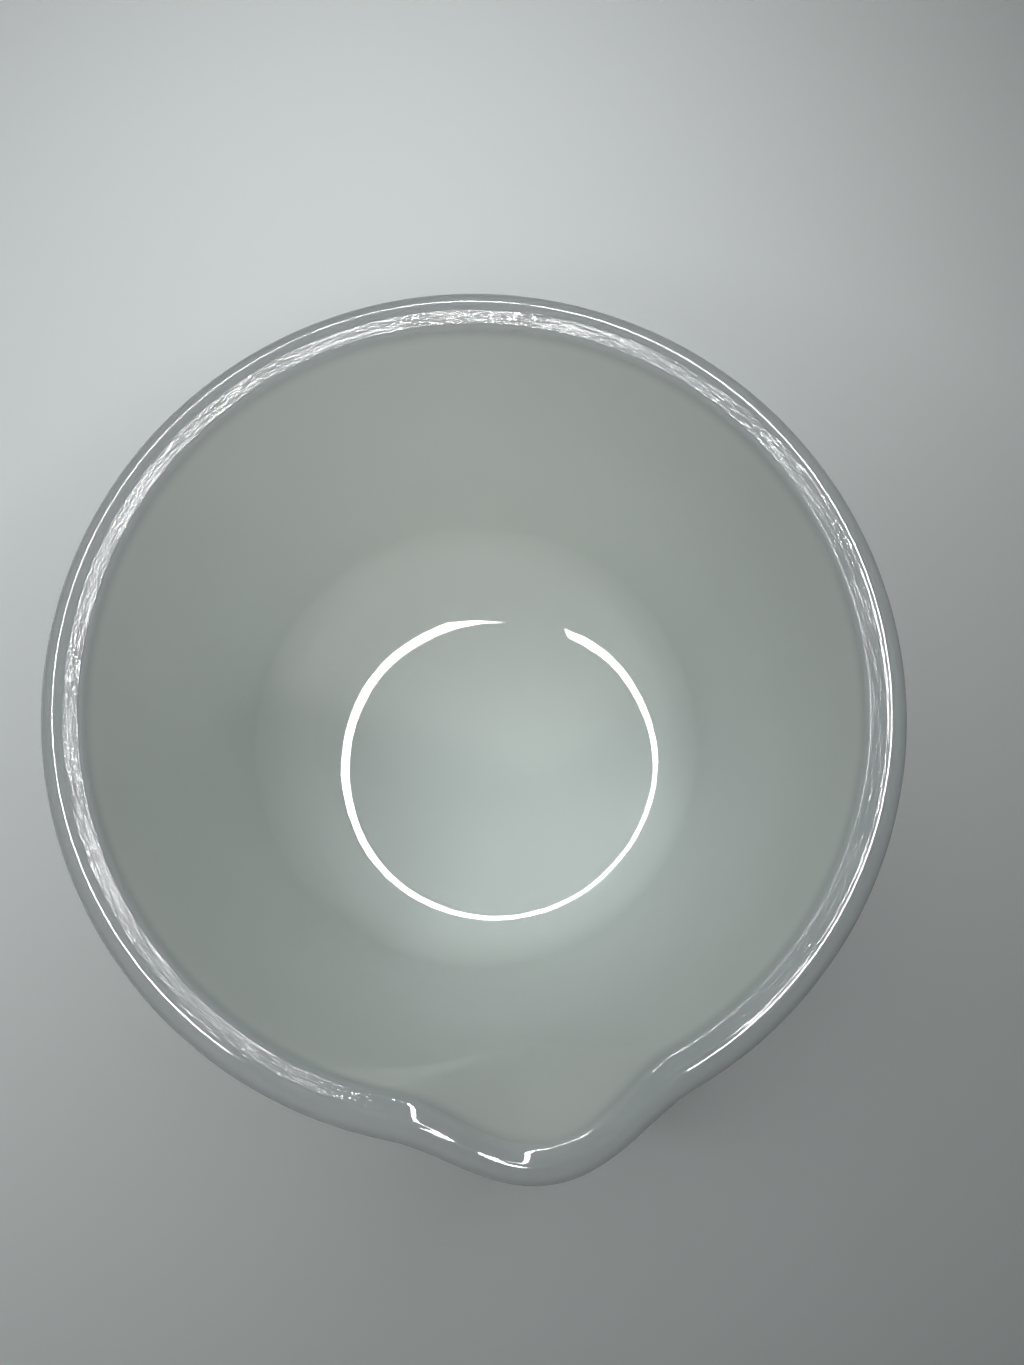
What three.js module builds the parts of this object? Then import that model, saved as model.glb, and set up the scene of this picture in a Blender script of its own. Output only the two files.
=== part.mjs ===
// A spouted bowl pressed in one piece from white opal glass.
// Millimetres, +Z up. The origin is the middle of the flat underside, on the surface that the
// bowl rests on, and the bowl's axis is Z. The spout points along -Y.

import * as THREE from 'three';
import { mergeVertices } from 'three/addons/utils/BufferGeometryUtils.js';

// Overall sizes
const height = 101.6;
const rimRadius = 82.5; // over the bead, away from the spout
const wallThickness = 4.9;
const footRadius = 40;
const footHeight = 3.2; // to the top of the foot's upright edge
const footEdge = 1.2; // rounding of its lower edge

// Inside, in section: a shallow middle, a rounder dish, a tight heel and a straight wall
const floorThickness = 5.6; // on the axis
const middleSlope = THREE.MathUtils.degToRad(7.5); // where the shallow middle ends
const dishRadius = 67;
const dishSlope = THREE.MathUtils.degToRad(30); // where the dish ends
const heelRadius = 14;
const wallLean = THREE.MathUtils.degToRad(12.3); // from vertical

// Outside, between the foot and the heel
const coveRadius = 1.6; // hollow between the foot and the outer wall
const coveSlope = THREE.MathUtils.degToRad(23); // of the outer wall where the hollow ends

// Rim bead, in section: a round outer edge and crown, a crease, and a flat shoulder that slopes
// into the bowl
const beadRadius = 3.7;
const beadUnderside = THREE.MathUtils.degToRad(-50); // where the bead leaves its round on the outside
const beadDrop = 11.6; // from the crown to where the bead has died into the outer wall
const crownSlope = THREE.MathUtils.degToRad(20); // of the bead's round where the crease begins
const creaseRadius = 0.8;
const shoulderSlope = THREE.MathUtils.degToRad(30.2);
const shoulderLength = 2.5;
const lipRadius = 2.2; // rounding from the shoulder down into the inner wall

// Spout
const spoutHalfAngle = THREE.MathUtils.degToRad(20);
const spoutReachOutside = 7.4; // how far the tip stands out beyond the round rim
const spoutReachInside = 8.3; // how far the inner lip is drawn out at the tip
const spoutDip = 1.5; // how much lower the tip is than the crown
const spoutDepth = 27; // how far below the crown the channel begins, in a point
const spoutCurl = 1.2; // above 1, the channel turns out more and more towards the lip

// Facets
const turnSegments = 96;

const point = (r, z) => new THREE.Vector2(r, z);

const line = (from, to) => new THREE.LineCurve(from, to);

const arc = (centre, radius, start, end) =>
  new THREE.EllipseCurve(centre.x, centre.y, radius, radius, start, end, end < start);

const onArc = (centre, radius, angle) =>
  point(centre.x + radius * Math.cos(angle), centre.y + radius * Math.sin(angle));

// The point where two straight lines cross, each given by a point and its slope from horizontal.
function crossing(first, firstSlope, second, secondSlope) {
  const firstRise = Math.tan(firstSlope);
  const secondRise = Math.tan(secondSlope);
  const reach = second.y - first.y - secondRise * (second.x - first.x);
  const x = first.x + reach / (firstRise - secondRise);
  return point(x, first.y + firstRise * (x - first.x));
}

// The bowl's closed half section, from the axis at the underside, round the rim, to the axis at
// the floor. Each stretch is a curve and the number of straight steps that it is made with.
function halfSection() {
  const quarter = Math.PI / 2;
  const wallSlope = quarter - wallLean;

  // Rim
  const beadCentre = point(rimRadius - beadRadius, height - beadRadius);
  const beadStart = onArc(beadCentre, beadRadius, beadUnderside);
  const crownEnd = quarter + crownSlope;
  const creaseCentre = onArc(beadCentre, beadRadius - creaseRadius, crownEnd);
  const shoulderAngle = quarter + shoulderSlope;
  const shoulderStart = onArc(creaseCentre, creaseRadius, shoulderAngle);
  const shoulderEnd = onArc(shoulderStart, -shoulderLength, shoulderSlope);
  const lipCentre = onArc(shoulderEnd, -lipRadius, shoulderAngle);
  const lipEndAngle = Math.PI - wallLean;
  const wallTop = onArc(lipCentre, lipRadius, lipEndAngle);

  // Inside, from the wall down to the axis. The height of the heel's top is the one that brings
  // the middle of the floor to its own thickness.
  const heelWidth = heelRadius * (Math.sin(wallSlope) - Math.sin(dishSlope));
  const heelRise = heelRadius * (Math.cos(dishSlope) - Math.cos(wallSlope));
  const dishWidth = dishRadius * (Math.sin(dishSlope) - Math.sin(middleSlope));
  const dishRise = dishRadius * (Math.cos(middleSlope) - Math.cos(dishSlope));
  const middleRise = Math.tan(middleSlope / 2);
  const wallLength =
    (wallTop.y - heelRise - dishRise - floorThickness - (wallTop.x - heelWidth - dishWidth) * middleRise) /
    (Math.cos(wallLean) - Math.sin(wallLean) * middleRise);
  const heelTop = onArc(wallTop, -wallLength, wallSlope);
  const heelCentre = onArc(heelTop, heelRadius, quarter + wallSlope);
  const dishEdge = onArc(heelCentre, heelRadius, dishSlope - quarter);
  const dishCentre = onArc(dishEdge, dishRadius, quarter + dishSlope);
  const middleEdge = onArc(dishCentre, dishRadius, middleSlope - quarter);
  const middleRadius = middleEdge.x / Math.sin(middleSlope);
  const middleCentre = point(0, floorThickness + middleRadius);

  // Outside, one wall thickness away from the heel and the straight wall
  const outerHeelRadius = heelRadius + wallThickness;
  const outerHeelStart = onArc(heelCentre, outerHeelRadius, dishSlope - quarter);
  const outerHeelTop = onArc(heelCentre, outerHeelRadius, -wallLean);
  const onOuterWall = (z) => crossing(outerHeelTop, wallSlope, point(0, z), 0);
  const onInnerWall = (z) => crossing(heelTop, wallSlope, point(0, z), 0);
  const spoutRoot = height - spoutDepth;
  const outerWallTop = onOuterWall(height - beadDrop);
  const necking = onOuterWall(outerWallTop.y + 0.6 * (beadStart.y - outerWallTop.y));
  const edgeCentre = point(footRadius - footEdge, footEdge);
  const coveCentre = point(footRadius + coveRadius, footHeight);
  const coveEndAngle = quarter + coveSlope;
  const coveEnd = onArc(coveCentre, coveRadius, coveEndAngle);
  const belly = crossing(coveEnd, coveSlope, outerHeelStart, dishSlope);

  const stretches = [
    [line(point(0, 0), point(footRadius - footEdge, 0)), 1],
    [arc(edgeCentre, footEdge, -quarter, 0), 3],
    [line(point(footRadius, footEdge), point(footRadius, footHeight)), 1],
    [arc(coveCentre, coveRadius, Math.PI, coveEndAngle), 2],
    [new THREE.QuadraticBezierCurve(coveEnd, belly, outerHeelStart), 3],
    [arc(heelCentre, outerHeelRadius, dishSlope - quarter, -wallLean), 6],
    [line(outerHeelTop, onOuterWall(spoutRoot)), 1],
    [line(onOuterWall(spoutRoot), outerWallTop), 5],
    [new THREE.QuadraticBezierCurve(outerWallTop, necking, beadStart), 3],
    [arc(beadCentre, beadRadius, beadUnderside, quarter), 7],
    [arc(beadCentre, beadRadius, quarter, crownEnd), 1],
    [arc(creaseCentre, creaseRadius, crownEnd, shoulderAngle), 1],
    [line(shoulderStart, shoulderEnd), 1],
    [arc(lipCentre, lipRadius, shoulderAngle, lipEndAngle), 3],
    [line(wallTop, onInnerWall(spoutRoot)), 8],
    [line(onInnerWall(spoutRoot), heelTop), 1],
    [arc(heelCentre, heelRadius, -wallLean, dishSlope - quarter), 6],
    [arc(dishCentre, dishRadius, dishSlope - quarter, middleSlope - quarter), 8],
    [arc(middleCentre, middleRadius, middleSlope - quarter, -quarter), 4],
  ];
  return stretches.flatMap(([curve, steps], i) => curve.getPoints(steps).slice(i ? 1 : 0));
}

// Draws the spout out of the round bowl: a swelling on the -Y side, widest and fullest at the rim
// and narrowing down the wall to a point, with the inner lip drawn further out than the outside.
function drawSpout(geometry) {
  const positions = geometry.getAttribute('position');
  const vertex = new THREE.Vector3();
  for (let i = 0; i < positions.count; i++) {
    vertex.fromBufferAttribute(positions, i);
    const radius = Math.hypot(vertex.x, vertex.y);
    const angle = Math.abs(Math.atan2(vertex.x, -vertex.y));
    const below = Math.max(0, height - beadRadius - vertex.z);
    const fade = 1 - below / (spoutDepth - beadRadius);
    if (radius === 0 || angle >= spoutHalfAngle * fade) continue;
    const across = 0.5 + 0.5 * Math.cos((Math.PI * angle) / (spoutHalfAngle * fade));
    const strength = across * fade ** spoutCurl;
    const inward = THREE.MathUtils.clamp((rimRadius - radius) / (2 * beadRadius), 0, 1);
    const reach = THREE.MathUtils.lerp(spoutReachOutside, spoutReachInside, inward);
    const stretch = (radius + reach * strength) / radius;
    positions.setXYZ(i, vertex.x * stretch, vertex.y * stretch, vertex.z - spoutDip * strength);
  }
}

function makeBowl() {
  const lathe = new THREE.LatheGeometry(halfSection(), turnSegments);
  lathe.rotateX(Math.PI / 2);
  lathe.deleteAttribute('normal');
  lathe.deleteAttribute('uv');
  const geometry = mergeVertices(lathe, 1e-4);
  drawSpout(geometry);
  geometry.computeVertexNormals();
  const opalGlass = new THREE.MeshStandardMaterial({ color: 0xe9eeee, roughness: 0.08, metalness: 0 });
  const bowl = new THREE.Mesh(geometry, opalGlass);
  bowl.name = 'bowl';
  return bowl;
}

const object = new THREE.Group();
object.add(makeBowl());

export default object;
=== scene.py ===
import math

import bpy
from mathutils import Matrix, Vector


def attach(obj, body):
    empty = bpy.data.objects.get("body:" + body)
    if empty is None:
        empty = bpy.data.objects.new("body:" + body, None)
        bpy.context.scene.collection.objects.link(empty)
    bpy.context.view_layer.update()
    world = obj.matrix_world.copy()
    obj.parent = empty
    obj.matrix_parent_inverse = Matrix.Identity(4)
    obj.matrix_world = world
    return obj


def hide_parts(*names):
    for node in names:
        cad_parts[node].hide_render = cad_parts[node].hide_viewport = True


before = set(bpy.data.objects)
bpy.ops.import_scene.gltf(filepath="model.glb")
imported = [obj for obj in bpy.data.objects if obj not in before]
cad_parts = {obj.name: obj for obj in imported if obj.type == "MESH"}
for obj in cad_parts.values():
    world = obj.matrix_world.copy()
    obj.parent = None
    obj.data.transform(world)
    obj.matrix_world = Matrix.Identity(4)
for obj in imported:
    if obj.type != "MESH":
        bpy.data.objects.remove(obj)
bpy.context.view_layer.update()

mm = 0.001


def deselectAll():
    if bpy.context.object and bpy.context.object.mode != "OBJECT":
        bpy.ops.object.mode_set(mode="OBJECT")
    bpy.ops.object.select_all(action="DESELECT")


def onCircle(centre, radius, angle):
    return (centre[0] + radius * math.cos(angle), centre[1] + radius * math.sin(angle))


def arcPoints(centre, radius, start, end, steps):
    return [onCircle(centre, radius, start + (end - start) * i / steps) for i in range(1, steps + 1)]


def linePoints(start, end, steps):
    return [
        (start[0] + (end[0] - start[0]) * i / steps, start[1] + (end[1] - start[1]) * i / steps)
        for i in range(1, steps + 1)
    ]


def bendPoints(start, corner, end, steps):
    points = []
    for i in range(1, steps + 1):
        t = i / steps
        a, b, c = (1 - t) ** 2, 2 * t * (1 - t), t * t
        points.append((a * start[0] + b * corner[0] + c * end[0], a * start[1] + b * corner[1] + c * end[1]))
    return points


# where two straight lines cross, each given by a point and its slope from horizontal
def crossing(first, firstSlope, second, secondSlope):
    firstRise, secondRise = math.tan(firstSlope), math.tan(secondSlope)
    x = first[0] + (second[1] - first[1] - secondRise * (second[0] - first[0])) / (firstRise - secondRise)
    return (x, first[1] + firstRise * (x - first[0]))


# The bowl, in millimetres and degrees. The spout points along -Y.
bowlShape = {
    "height": 101.6,
    "rimRadius": 82.5,
    "wallThickness": 4.9,
    "footRadius": 40.0,
    "footHeight": 3.2,
    "footEdge": 1.2,
    "floorThickness": 5.6,
    "middleSlope": 7.5,  # shallow middle, then a rounder dish, then a tight heel
    "dishRadius": 67.0,
    "dishSlope": 30.0,
    "heelRadius": 14.0,
    "wallLean": 12.3,  # from vertical
    "coveRadius": 1.6,
    "coveSlope": 23.0,
    "beadRadius": 3.7,
    "beadUnderside": -50.0,
    "beadDrop": 11.6,
    "neckingShare": 0.6,  # how far up the bead's drop the outer wall starts to turn out
    "crownSlope": 20.0,  # where the bead's round ends in a crease, on the inside
    "creaseRadius": 0.8,
    "shoulderSlope": 30.2,
    "shoulderLength": 2.5,
    "lipRadius": 2.2,
    "turnSteps": 320,
}

# how many straight steps each stretch of the bowl's section has
sectionSteps = {
    "underside": 6,
    "footEdge": 6,
    "footSide": 1,
    "cove": 6,
    "belly": 6,
    "outerHeel": 12,
    "outerWall": 26,
    "necking": 8,
    "bead": 30,
    "crease": 3,
    "shoulder": 5,
    "lip": 9,
    "innerWall": 30,
    "heel": 12,
    "dish": 16,
    "middle": 10,
}


# half of the bowl cut through its axis: from the underside, round the rim, to the middle of the floor
def halfSection(shape, steps):
    quarter = math.pi / 2
    lean = math.radians(shape["wallLean"])
    wallSlope = quarter - lean
    dishSlope = math.radians(shape["dishSlope"])
    middleSlope = math.radians(shape["middleSlope"])
    heelRadius, dishRadius = shape["heelRadius"], shape["dishRadius"]

    beadRadius = shape["beadRadius"]
    beadUnderside = math.radians(shape["beadUnderside"])
    beadCentre = (shape["rimRadius"] - beadRadius, shape["height"] - beadRadius)
    beadStart = onCircle(beadCentre, beadRadius, beadUnderside)
    crownEnd = quarter + math.radians(shape["crownSlope"])
    creaseCentre = onCircle(beadCentre, beadRadius - shape["creaseRadius"], crownEnd)
    shoulderSlope = math.radians(shape["shoulderSlope"])
    shoulderAngle = quarter + shoulderSlope
    shoulderStart = onCircle(creaseCentre, shape["creaseRadius"], shoulderAngle)
    shoulderEnd = onCircle(shoulderStart, -shape["shoulderLength"], shoulderSlope)
    lipCentre = onCircle(shoulderEnd, -shape["lipRadius"], shoulderAngle)
    wallTop = onCircle(lipCentre, shape["lipRadius"], math.pi - lean)

    heelWidth = heelRadius * (math.sin(wallSlope) - math.sin(dishSlope))
    heelRise = heelRadius * (math.cos(dishSlope) - math.cos(wallSlope))
    dishWidth = dishRadius * (math.sin(dishSlope) - math.sin(middleSlope))
    dishRise = dishRadius * (math.cos(middleSlope) - math.cos(dishSlope))
    middleRise = math.tan(middleSlope / 2)
    fall = wallTop[1] - heelRise - dishRise - shape["floorThickness"]
    wallLength = (fall - (wallTop[0] - heelWidth - dishWidth) * middleRise) / (
        math.cos(lean) - math.sin(lean) * middleRise
    )
    heelTop = onCircle(wallTop, -wallLength, wallSlope)
    heelCentre = onCircle(heelTop, heelRadius, quarter + wallSlope)
    dishEdge = onCircle(heelCentre, heelRadius, dishSlope - quarter)
    dishCentre = onCircle(dishEdge, dishRadius, quarter + dishSlope)
    middleEdge = onCircle(dishCentre, dishRadius, middleSlope - quarter)
    middleRadius = middleEdge[0] / math.sin(middleSlope)
    middleCentre = (0.0, shape["floorThickness"] + middleRadius)

    outerRadius = heelRadius + shape["wallThickness"]
    outerHeelStart = onCircle(heelCentre, outerRadius, dishSlope - quarter)
    outerHeelTop = onCircle(heelCentre, outerRadius, -lean)
    outerWallTop = crossing(outerHeelTop, wallSlope, (0.0, shape["height"] - shape["beadDrop"]), 0.0)
    neckingHeight = outerWallTop[1] + shape["neckingShare"] * (beadStart[1] - outerWallTop[1])
    necking = crossing(outerHeelTop, wallSlope, (0.0, neckingHeight), 0.0)

    footRadius, footEdge = shape["footRadius"], shape["footEdge"]
    coveCentre = (footRadius + shape["coveRadius"], shape["footHeight"])
    coveSlope = math.radians(shape["coveSlope"])
    coveEnd = onCircle(coveCentre, shape["coveRadius"], quarter + coveSlope)
    belly = crossing(coveEnd, coveSlope, outerHeelStart, dishSlope)

    section = [(0.0, 0.0)]
    section += linePoints(section[-1], (footRadius - footEdge, 0.0), steps["underside"])
    section += arcPoints((footRadius - footEdge, footEdge), footEdge, -quarter, 0.0, steps["footEdge"])
    section += linePoints(section[-1], (footRadius, shape["footHeight"]), steps["footSide"])
    section += arcPoints(coveCentre, shape["coveRadius"], math.pi, quarter + coveSlope, steps["cove"])
    section += bendPoints(coveEnd, belly, outerHeelStart, steps["belly"])
    section += arcPoints(heelCentre, outerRadius, dishSlope - quarter, -lean, steps["outerHeel"])
    section += linePoints(outerHeelTop, outerWallTop, steps["outerWall"])
    section += bendPoints(outerWallTop, necking, beadStart, steps["necking"])
    section += arcPoints(beadCentre, beadRadius, beadUnderside, crownEnd, steps["bead"])
    section += arcPoints(creaseCentre, shape["creaseRadius"], crownEnd, shoulderAngle, steps["crease"])
    section += linePoints(shoulderStart, shoulderEnd, steps["shoulder"])
    section += arcPoints(lipCentre, shape["lipRadius"], shoulderAngle, math.pi - lean, steps["lip"])
    section += linePoints(wallTop, heelTop, steps["innerWall"])
    section += arcPoints(heelCentre, heelRadius, -lean, dishSlope - quarter, steps["heel"])
    section += arcPoints(dishCentre, dishRadius, dishSlope - quarter, middleSlope - quarter, steps["dish"])
    section += arcPoints(middleCentre, middleRadius, middleSlope - quarter, -quarter, steps["middle"])
    section[-1] = (0.0, shape["floorThickness"])
    return [(radius * mm, height * mm) for radius, height in section]


mergeGap = 0.00001  # metres, for the two points that the section has on the axis


# the half section drawn point by point, then spun once round the axis
def spinBowl(name, shape, steps):
    section = halfSection(shape, steps)
    deselectAll()
    bpy.ops.mesh.primitive_plane_add(size=0.001, location=(0.0, 0.0, 0.0))
    piece = bpy.context.object
    piece.name = name
    bpy.ops.object.mode_set(mode="EDIT")
    bpy.ops.mesh.select_all(action="SELECT")
    bpy.ops.mesh.merge(type="CENTER")
    for (fromRadius, fromHeight), (toRadius, toHeight) in zip(section, section[1:]):
        step = (toRadius - fromRadius, 0.0, toHeight - fromHeight)
        bpy.ops.mesh.extrude_region_move(TRANSFORM_OT_translate={"value": step})
    bpy.ops.mesh.select_all(action="SELECT")
    middle, upright = (0.0, 0.0, 0.0), (0.0, 0.0, 1.0)
    bpy.ops.mesh.spin(steps=shape["turnSteps"], angle=math.tau, center=middle, axis=upright)
    bpy.ops.mesh.select_all(action="SELECT")
    bpy.ops.mesh.remove_doubles(threshold=mergeGap)
    bpy.ops.mesh.normals_make_consistent(inside=False)
    bpy.ops.object.mode_set(mode="OBJECT")
    bpy.ops.object.shade_smooth()
    return piece


# The band round the rim's shoulder that has streaks, in millimetres
streakBand = {
    "topMargin": 0.6,
    "widthMargin": 0.2,
    "depth": 2.4,  # below the crown
    "spoutFade": 0.9,  # in half angles of the spout: where the streaks start to come back beside it
}


# each point's distance from the axis and its share of the shoulder, kept before the spout moves them
def markShoulder(piece, shape, spout, band):
    slope = math.radians(shape["shoulderSlope"])
    inwards = shape["beadRadius"] * math.sin(slope)
    top = (shape["rimRadius"] - shape["beadRadius"] - inwards + band["topMargin"]) * mm
    width = (shape["shoulderLength"] * math.cos(slope) + band["widthMargin"]) * mm
    fromAxis = piece.data.attributes.new("fromAxis", "FLOAT", "POINT")
    shoulder = piece.data.attributes.new("shoulder", "FLOAT", "POINT")
    for i, vertex in enumerate(piece.data.vertices):
        radius = math.hypot(vertex.co.x, vertex.co.y)
        high = vertex.co.z > (shape["height"] - band["depth"]) * mm
        fromAxis.data[i].value = radius
        if high and top - width <= radius <= top:
            angle = math.degrees(abs(math.atan2(vertex.co.x, -vertex.co.y)))
            shoulder.data[i].value = min(1.0, max(0.0, angle / spout["halfAngle"] - band["spoutFade"]))


# The pouring spout, in the same units
spoutShape = {
    "halfAngle": 20.0,
    "reachOutside": 7.4,
    "reachInside": 8.3,
    "dip": 1.5,
    "depth": 27.0,
    "curl": 1.2,
}


# the -Y side is drawn out into the spout, widest at the rim and narrowing down the wall to a point
def drawSpout(piece, shape, spout):
    halfAngle = math.radians(spout["halfAngle"])
    fullHeight = (shape["height"] - shape["beadRadius"]) * mm
    channel = (spout["depth"] - shape["beadRadius"]) * mm
    for vertex in piece.data.vertices:
        radius = math.hypot(vertex.co.x, vertex.co.y)
        angle = abs(math.atan2(vertex.co.x, -vertex.co.y))
        fade = 1.0 - max(0.0, fullHeight - vertex.co.z) / channel
        if radius < mm or angle >= halfAngle * fade:
            continue
        across = 0.5 + 0.5 * math.cos(math.pi * angle / (halfAngle * fade))
        strength = across * fade ** spout["curl"]
        inward = min(1.0, max(0.0, (shape["rimRadius"] * mm - radius) / (2 * shape["beadRadius"] * mm)))
        reach = spout["reachOutside"] + (spout["reachInside"] - spout["reachOutside"]) * inward
        stretch = (radius + reach * mm * strength) / radius
        lowered = vertex.co.z - spout["dip"] * mm * strength
        vertex.co = Vector((vertex.co.x * stretch, vertex.co.y * stretch, lowered))


def newMaterial(name):
    material = bpy.data.materials.new(name)
    material.use_nodes = True
    return material, material.node_tree.nodes, material.node_tree.links


def addNode(nodes, kind, **values):
    node = nodes.new(kind)
    for name, value in values.items():
        if name in node.inputs:
            node.inputs[name].default_value = value
        else:
            setattr(node, name, value)
    return node


def addMath(nodes, links, operation, first, second):
    node = nodes.new("ShaderNodeMath")
    node.operation = operation
    for socket, value in zip(node.inputs, (first, second)):
        if isinstance(value, (int, float)):
            socket.default_value = value
        else:
            links.new(value, socket)
    return node.outputs[0]


mixSockets = {"factor": 0, "first": 6, "second": 7, "result": 2}  # a Mix node's, when it mixes colours


def addColourMix(nodes, links, factor, first, second):
    node = nodes.new("ShaderNodeMix")
    node.data_type = "RGBA"
    for name, value in (("factor", factor), ("first", first), ("second", second)):
        socket = node.inputs[mixSockets[name]]
        if isinstance(value, tuple):
            socket.default_value = value
        else:
            links.new(value, socket)
    return node.outputs[mixSockets["result"]]


def addBump(nodes, links, height, distance, below):
    node = addNode(nodes, "ShaderNodeBump", Strength=1.0, Distance=distance)
    links.new(height, node.inputs["Height"])
    if below:
        links.new(below, node.inputs["Normal"])
    return node.outputs["Normal"]


# White opal glass. Depths and lengths are in millimetres.
glassLook = {
    "bodyColour": (0.575, 0.605, 0.585, 1.0),
    "cloudColour": (0.545, 0.57, 0.55, 1.0),
    # the rim's colour is partly the cooler tint of the thin glass and partly painted shade that darkens the
    # top band
    "rimTintAndShade": (0.385, 0.41, 0.415, 1.0),
    "refraction": 1.5,
    "roughness": 0.022,
    "wipedRoughness": 0.05,
    "scatterWeight": 0.6,
    "scatterDepth": 3.0,
    "cloudScale": 38.0,  # in turns to the metre
    "cloudDetail": 3.0,
    "cloudRoughness": 0.45,
    "rimTintAndShadeStart": 6.0,  # below the crown
    "rimTintAndShadeEnd": 1.0,
    "wipeScale": 90.0,
    "wipeDetail": 5.0,
    "wipeRoughness": 0.6,
    "wipeStart": 0.45,
    "wipeEnd": 0.75,
    "streakDepth": 0.125,  # fire polish along the shoulder of the rim
    "streakLength": 5.5,
    "streakWidth": 0.42,
    "streakDetail": 2.5,
    "streakRoughness": 0.55,
    "streakDistortion": 0.4,
    "swellDepth": 0.12,  # slow waves left by the mould
    "swellLength": 30.0,
    "swellDetail": 1.0,
    "peelDepth": 0.002,  # fine skin
    "peelLength": 2.2,
    "peelDetail": 2.0,
}


def opalGlassMaterial(look, shape):
    material, nodes, links = newMaterial("whiteOpalGlass")
    surface = nodes["Principled BSDF"]
    surface.inputs["IOR"].default_value = look["refraction"]
    surface.inputs["Subsurface Weight"].default_value = look["scatterWeight"]
    surface.inputs["Subsurface Radius"].default_value = (1.0, 1.0, 1.0)
    surface.inputs["Subsurface Scale"].default_value = look["scatterDepth"] * mm

    place = nodes.new("ShaderNodeTexCoord").outputs["Object"]
    parts = nodes.new("ShaderNodeSeparateXYZ")
    links.new(place, parts.inputs[0])

    # colour: faint clouds in the melt, and a darker, cooler rim: partly the cooler look of the thinner glass,
    # partly painted shade
    clouds = addNode(
        nodes,
        "ShaderNodeTexNoise",
        Scale=look["cloudScale"],
        Detail=look["cloudDetail"],
        Roughness=look["cloudRoughness"],
    )
    links.new(place, clouds.inputs["Vector"])
    body = addColourMix(nodes, links, clouds.outputs["Fac"], look["bodyColour"], look["cloudColour"])
    rimTintAndShadeZone = addNode(nodes, "ShaderNodeMapRange", interpolation_type="SMOOTHSTEP")
    rimTintAndShadeZone.inputs["From Min"].default_value = (shape["height"] - look["rimTintAndShadeStart"]) * mm
    rimTintAndShadeZone.inputs["From Max"].default_value = (shape["height"] - look["rimTintAndShadeEnd"]) * mm
    links.new(parts.outputs["Z"], rimTintAndShadeZone.inputs["Value"])
    colour = addColourMix(nodes, links, rimTintAndShadeZone.outputs["Result"], body, look["rimTintAndShade"])
    links.new(colour, surface.inputs["Base Color"])

    # roughness: a polished skin with faint wiped patches
    wipes = addNode(
        nodes,
        "ShaderNodeTexNoise",
        Scale=look["wipeScale"],
        Detail=look["wipeDetail"],
        Roughness=look["wipeRoughness"],
    )
    links.new(place, wipes.inputs["Vector"])
    wiped = addNode(nodes, "ShaderNodeMapRange")
    wiped.inputs["From Min"].default_value = look["wipeStart"]
    wiped.inputs["From Max"].default_value = look["wipeEnd"]
    wiped.inputs["To Min"].default_value = look["roughness"]
    wiped.inputs["To Max"].default_value = look["wipedRoughness"]
    links.new(wipes.outputs["Fac"], wiped.inputs["Value"])
    links.new(wiped.outputs["Result"], surface.inputs["Roughness"])

    # relief: slow swells all over, fine skin, and long streaks round the shoulder
    swellScale = 1.0 / (look["swellLength"] * mm)
    swells = addNode(nodes, "ShaderNodeTexNoise", Scale=swellScale, Detail=look["swellDetail"])
    links.new(place, swells.inputs["Vector"])
    peelScale = 1.0 / (look["peelLength"] * mm)
    peel = addNode(nodes, "ShaderNodeTexNoise", Scale=peelScale, Detail=look["peelDetail"])
    links.new(place, peel.inputs["Vector"])

    fromAxis = addNode(nodes, "ShaderNodeAttribute", attribute_name="fromAxis").outputs["Fac"]
    shoulder = addNode(nodes, "ShaderNodeAttribute", attribute_name="shoulder").outputs["Fac"]
    around = addNode(nodes, "ShaderNodeVectorMath", operation="MULTIPLY")
    around.inputs[1].default_value = (1.0, 1.0, 0.0)
    links.new(place, around.inputs[0])
    outward = addNode(nodes, "ShaderNodeVectorMath", operation="NORMALIZE")
    links.new(around.outputs[0], outward.inputs[0])
    spread = addNode(nodes, "ShaderNodeVectorMath", operation="SCALE")
    spread.inputs["Scale"].default_value = shape["rimRadius"] / look["streakLength"]
    links.new(outward.outputs[0], spread.inputs[0])
    lift = nodes.new("ShaderNodeCombineXYZ")
    links.new(addMath(nodes, links, "MULTIPLY", fromAxis, 1.0 / (look["streakWidth"] * mm)), lift.inputs["Z"])
    streakPlace = addNode(nodes, "ShaderNodeVectorMath", operation="ADD")
    links.new(spread.outputs[0], streakPlace.inputs[0])
    links.new(lift.outputs[0], streakPlace.inputs[1])
    streaks = addNode(
        nodes,
        "ShaderNodeTexNoise",
        Scale=1.0,
        Detail=look["streakDetail"],
        Roughness=look["streakRoughness"],
        Distortion=look["streakDistortion"],
    )
    links.new(streakPlace.outputs[0], streaks.inputs["Vector"])
    streakHeight = addMath(nodes, links, "MULTIPLY", streaks.outputs["Fac"], shoulder)

    relief = addBump(nodes, links, swells.outputs["Fac"], look["swellDepth"] * mm, None)
    relief = addBump(nodes, links, peel.outputs["Fac"], look["peelDepth"] * mm, relief)
    relief = addBump(nodes, links, streakHeight, look["streakDepth"] * mm, relief)
    links.new(relief, surface.inputs["Normal"])
    return material


# The room, with lengths in metres
roomLook = {
    "tableSize": 4.0,
    "tableRoughness": 0.55,
    "tableColour": (0.93, 0.95, 0.95, 1.0),
    "ambient": 0.03,
    "ambientColour": (0.93, 1.0, 0.98, 1.0),
    "sweepRadius": 1.95,
    "sweepHeight": 2.6,
    "sweepColour": (0.95, 1.0, 0.99, 1.0),
    "sweepGlow": 0.36,
    "sweepSides": 96,
    "glowStart": 0.33,  # the distance from the bowl at which the table starts to glow
    "glowEnd": 1.3,
}


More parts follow.
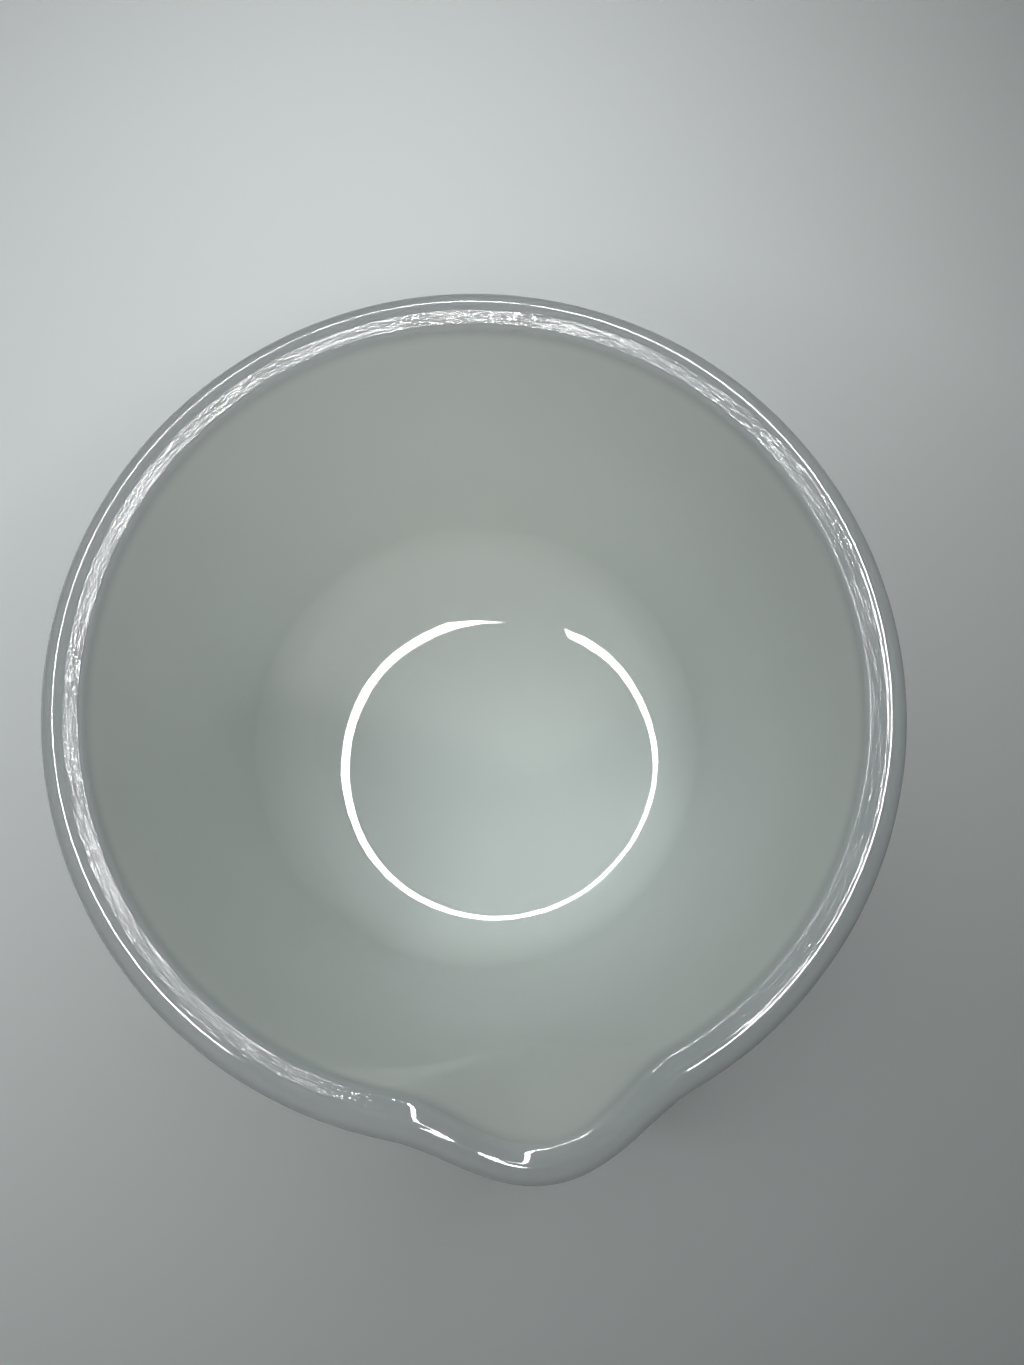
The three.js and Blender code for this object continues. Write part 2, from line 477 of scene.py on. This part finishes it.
def tableMaterial(look):
    material, nodes, links = newMaterial("paleTable")
    surface = nodes["Principled BSDF"]
    surface.inputs["Base Color"].default_value = look["tableColour"]
    surface.inputs["Roughness"].default_value = look["tableRoughness"]
    # painted light: away from the bowl the table glows, brightening into the sweep
    place = nodes.new("ShaderNodeTexCoord").outputs["Object"]
    distance = addNode(nodes, "ShaderNodeVectorMath", operation="LENGTH")
    links.new(place, distance.inputs[0])
    glow = addNode(nodes, "ShaderNodeMapRange", interpolation_type="SMOOTHSTEP")
    glow.inputs["From Min"].default_value = look["glowStart"]
    glow.inputs["From Max"].default_value = look["glowEnd"]
    glow.inputs["To Max"].default_value = look["sweepGlow"]
    links.new(distance.outputs["Value"], glow.inputs["Value"])
    surface.inputs["Emission Color"].default_value = look["sweepColour"]
    links.new(glow.outputs["Result"], surface.inputs["Emission Strength"])
    return material


def makeTable(look):
    deselectAll()
    bpy.ops.mesh.primitive_plane_add(size=look["tableSize"], location=(0.0, 0.0, 0.0))
    table = bpy.context.object
    table.name = "tableTop"
    table.data.materials.append(tableMaterial(look))
    return table


def glowMaterial(name, colour, strength):
    material, nodes, links = newMaterial(name)
    nodes.remove(nodes["Principled BSDF"])
    glow = nodes.new("ShaderNodeEmission")
    glow.inputs["Color"].default_value = colour
    glow.inputs["Strength"].default_value = strength
    links.new(glow.outputs["Emission"], nodes["Material Output"].inputs["Surface"])
    return material


# a pale wall right round the table
def makeSweep(look):
    deselectAll()
    bpy.ops.mesh.primitive_cylinder_add(
        vertices=look["sweepSides"],
        radius=look["sweepRadius"],
        depth=look["sweepHeight"],
        end_fill_type="NOTHING",
        location=(0.0, 0.0, look["sweepHeight"] / 2),
    )
    sweep = bpy.context.object
    sweep.name = "studioSweep"
    sweep.data.materials.append(glowMaterial("sweepGlow", look["sweepColour"], look["sweepGlow"]))
    sweep.visible_diffuse = False
    sweep.visible_shadow = False


def makeRoom(look):
    scene = bpy.context.scene
    world = bpy.data.worlds.new("room")
    world.use_nodes = True
    background = world.node_tree.nodes["Background"]
    background.inputs["Color"].default_value = look["ambientColour"]
    background.inputs["Strength"].default_value = look["ambient"]
    scene.world = world
    scene.view_settings.view_transform = "Standard"


# Two ring lamps, one for the light and one for what the gloss shows, and two dark cards that hide
# parts of the second from the floor and from the spout, all in millimetres and degrees
softRing = {
    "centre": (-42.9, 109.4, 291.6),
    "radius": 164.0,
    "width": 24.0,
    "colour": (0.955, 1.0, 0.99, 1.0),
    "strength": 7.9,
}
glossRing = {
    "centre": (-55.9, 139.9, 361.7),
    "radius": 216.5,
    "width": 20.0,
    "colour": (0.97, 1.0, 1.0, 1.0),
    "strength": 75.0,
}
ringSides = 256
cardFinish = {"colour": (0.01, 0.01, 0.01, 1.0), "roughness": 1.0}
darkCards = {
    "highCard": {"centre": (-31.0, -101.5, 295.6), "width": 121.0, "depth": 110.0, "turn": -8.6},
    "lowCard": {"centre": (-33.0, -21.0, 150.0), "width": 20.0, "depth": 18.0, "turn": 0.0},
}


# a flat glowing ring
def makeRingLamp(name, lamp):
    deselectAll()
    outer = (lamp["radius"] + lamp["width"] / 2) * mm
    bpy.ops.mesh.primitive_circle_add(
        vertices=ringSides, radius=outer, fill_type="NGON", location=Vector(lamp["centre"]) * mm
    )
    band = bpy.context.object
    band.name = name
    bpy.ops.object.mode_set(mode="EDIT")
    bpy.ops.mesh.select_all(action="SELECT")
    bpy.ops.mesh.inset(thickness=lamp["width"] * mm, depth=0.0)
    bpy.ops.mesh.delete(type="FACE")
    bpy.ops.object.mode_set(mode="OBJECT")
    band.data.materials.append(glowMaterial("lampGlow", lamp["colour"], lamp["strength"]))
    band.visible_camera = False
    return band


def makeDarkCard(name, card):
    deselectAll()
    bpy.ops.mesh.primitive_plane_add(size=1.0, location=Vector(card["centre"]) * mm)
    piece = bpy.context.object
    piece.name = name
    piece.scale = (card["width"] * mm, card["depth"] * mm, 1.0)
    piece.rotation_euler.z = math.radians(card["turn"])
    material, nodes, links = newMaterial("matteBlack")
    nodes["Principled BSDF"].inputs["Base Color"].default_value = cardFinish["colour"]
    nodes["Principled BSDF"].inputs["Roughness"].default_value = cardFinish["roughness"]
    piece.data.materials.append(material)
    piece.visible_camera = False
    piece.visible_diffuse = False
    piece.visible_shadow = False


# Soft fill lamps: place, target and size in millimetres, cone in degrees, power in watts
fillLamps = {
    "fillFloor": {
        "place": (-41.4, 127.6, 600.0),
        "target": (18.3, -26.0, 10.0),
        "cone": 13.0,
        "size": 30.0,
        "power": 4.6,
        "colour": (0.86, 0.97, 1.0),
        "lights": "bowl",
    },
    "fillBack": {
        "place": (-82.6, -412.3, 560.0),
        "target": (-0.9, 60.8, 50.0),
        "cone": 18.0,
        "size": 50.0,
        "power": 5.8,
        "colour": (1.0, 0.98, 0.93),
        "lights": "bowl",
    },
    "fillMiddle": {
        "place": (-20.7, 63.8, 700.0),
        "target": (-4.0, -12.0, 8.0),
        "cone": 14.0,
        "size": 50.0,
        "power": 1.7,
        "colour": (0.97, 1.0, 1.0),
        "lights": "bowl",
    },
    "fillLeft": {
        "place": (-430.0, 60.0, 260.0),
        "target": (-210.0, 0.0, 0.0),
        "cone": 90.0,
        "size": 90.0,
        "power": 1.0,
        "colour": (0.97, 1.0, 1.0),
        "lights": "table",
    },
    "fillTable": {
        "place": (0.0, 200.0, 200.0),
        "target": (0.0, 200.0, 0.0),
        "cone": 165.0,
        "size": 60.0,
        "power": 0.36,
        "colour": (0.97, 1.0, 1.0),
        "lights": "table",
    },
}


# Four low lamps round the bowl for its outside, in the same units
sideLamps = {
    "turns": (35.0, 125.0, 215.0, 305.0),
    "distance": 850.0,
    "height": 40.0,
    "aimHeight": 50.0,
    "cone": 22.0,
    "size": 160.0,
    "power": 4.5,
    "colour": (0.98, 1.0, 1.0),
}


# a spot lamp that lights only the pieces in the collection it is given
def makeFillLamp(name, fill, receivers):
    data = bpy.data.lights.new(name, "SPOT")
    data.spot_size = math.radians(fill["cone"])
    data.spot_blend = 1.0
    data.shadow_soft_size = fill["size"] * mm
    data.energy = fill["power"]
    data.color = fill["colour"]
    lamp = bpy.data.objects.new(name, data)
    lamp.location = Vector(fill["place"]) * mm
    aim = Vector(fill["target"]) - Vector(fill["place"])
    lamp.rotation_euler = aim.to_track_quat("-Z", "Y").to_euler()
    lamp.visible_glossy = False
    lamp.light_linking.receiver_collection = receivers
    bpy.context.scene.collection.objects.link(lamp)


# The camera, in millimetres and degrees
viewPoint = {
    "place": (-6.72, -33.09, 291.7),
    "turn": (10.32, -2.26, -8.6),
    "lens": 27.03,
    "sensor": 36.0,
}


def makeCamera(view):
    data = bpy.data.cameras.new("camera")
    data.sensor_width = view["sensor"]
    data.lens = view["lens"]
    camera = bpy.data.objects.new("camera", data)
    camera.location = Vector(view["place"]) * mm
    camera.rotation_euler = [math.radians(turn) for turn in view["turn"]]
    bpy.context.scene.collection.objects.link(camera)
    bpy.context.scene.camera = camera


print("camera, room and table")
makeCamera(viewPoint)
makeRoom(roomLook)
tableTop = makeTable(roomLook)
makeSweep(roomLook)
softLamp = makeRingLamp("softRing", softRing)
softLamp.visible_glossy = False
glossLamp = makeRingLamp("glossRing", glossRing)
glossLamp.visible_diffuse = False
glossLamp.visible_shadow = False
for cardName, card in darkCards.items():
    makeDarkCard(cardName, card)

print("opal glass bowl")
opalBowl = spinBowl("opalBowl", bowlShape, sectionSteps)
markShoulder(opalBowl, bowlShape, spoutShape, streakBand)
drawSpout(opalBowl, bowlShape, spoutShape)
opalBowl.data.materials.append(opalGlassMaterial(glassLook, bowlShape))
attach(opalBowl, "root")
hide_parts("bowl")

print("lamps round the bowl")
litPieces = {"bowl": bpy.data.collections.new("litBowl"), "table": bpy.data.collections.new("litTable")}
litPieces["bowl"].objects.link(opalBowl)
litPieces["table"].objects.link(tableTop)
glossLamp.light_linking.receiver_collection = litPieces["bowl"]
for lampName, fill in fillLamps.items():
    makeFillLamp(lampName, fill, litPieces[fill["lights"]])

for turn in sideLamps["turns"]:
    aside = onCircle((0.0, 0.0), sideLamps["distance"], math.radians(turn))
    side = {
        "place": (aside[0], aside[1], sideLamps["height"]),
        "target": (0.0, 0.0, sideLamps["aimHeight"]),
    }
    makeFillLamp(f"sideLamp{turn:.0f}", {**sideLamps, **side}, litPieces["bowl"])
